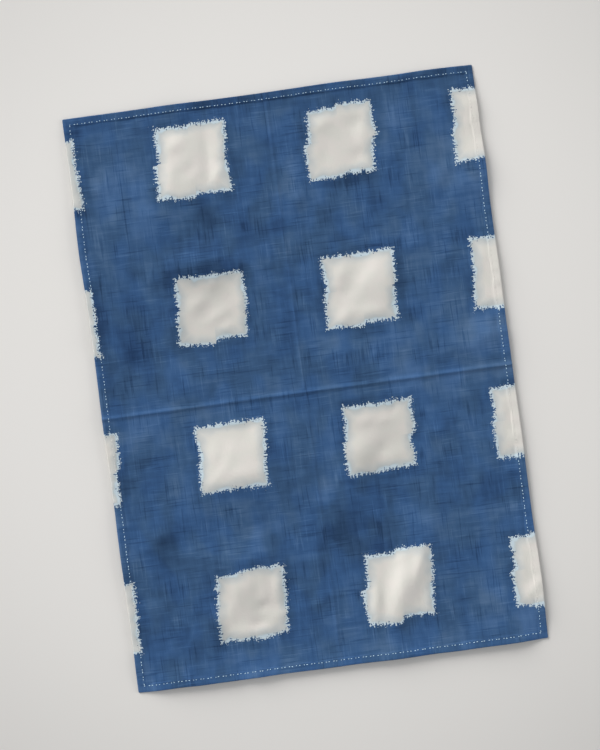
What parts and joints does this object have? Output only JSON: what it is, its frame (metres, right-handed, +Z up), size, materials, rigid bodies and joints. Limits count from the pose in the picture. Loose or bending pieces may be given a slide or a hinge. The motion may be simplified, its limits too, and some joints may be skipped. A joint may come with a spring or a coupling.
{
  "type": "shibori dyed cloth",
  "caption": "Flat rectangular linen cloth, resist dyed, with a narrow turned and stitched hem on all four sides; lies loose as a towel, tray cover or small table cloth.",
  "frame": {"origin": "middle of the underside, on the surface that the cloth lies on", "axes": "+X across the width, +Y along the length towards the edge at the top of the picture, +Z up out of the dyed face"},
  "size_m": [0.5046, 0.7026, 0.0072],
  "materials": {
    "dyed_linen": "matt slubby plain weave, dyed blue with undyed off-white squares"
  },
  "bodies": {
    "root": {"cloth": "dyed_linen"}
  },
  "joints": []
}
